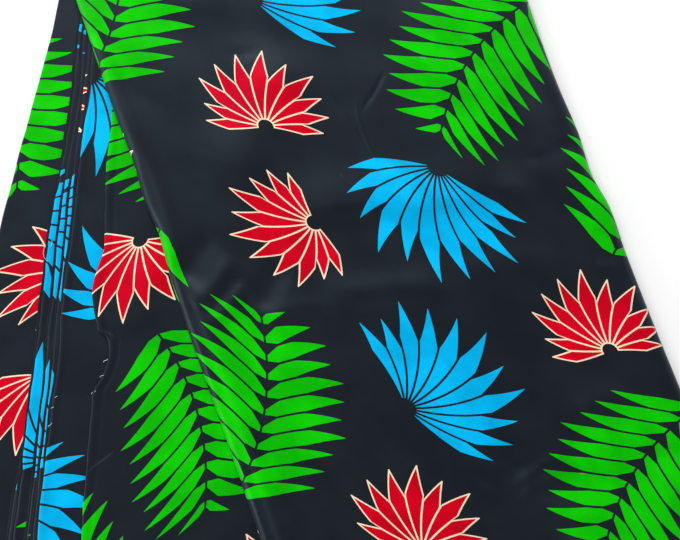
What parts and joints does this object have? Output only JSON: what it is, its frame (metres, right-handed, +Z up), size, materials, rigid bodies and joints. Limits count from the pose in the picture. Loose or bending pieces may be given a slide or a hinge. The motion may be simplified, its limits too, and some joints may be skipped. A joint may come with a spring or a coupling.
{
  "type": "folded length of printed cotton fabric",
  "caption": "Length of wax print cotton with a black ground, folded into a long flat pack and laid over itself as an inverted V.",
  "frame": {"origin": "middle of the footprint, on the surface that the cloth lies on", "axes": "+Z up off the surface, +Y towards the top fold, +X from the left leg towards the right leg"},
  "size_m": [0.7636, 0.7362, 0.021],
  "materials": {
    "wax_print_cotton": "black ground with a soft sheen, printed in bright green, sky blue, and red with cream outlines"
  },
  "bodies": {
    "root": {"front_panel": "wax_print_cotton", "folded_core": "wax_print_cotton", "under_panel": "wax_print_cotton", "layer_1": "wax_print_cotton", "layer_2": "wax_print_cotton", "layer_3": "wax_print_cotton", "layer_4": "wax_print_cotton", "middle_panel": "wax_print_cotton", "upper_panel": "wax_print_cotton"}
  },
  "joints": []
}
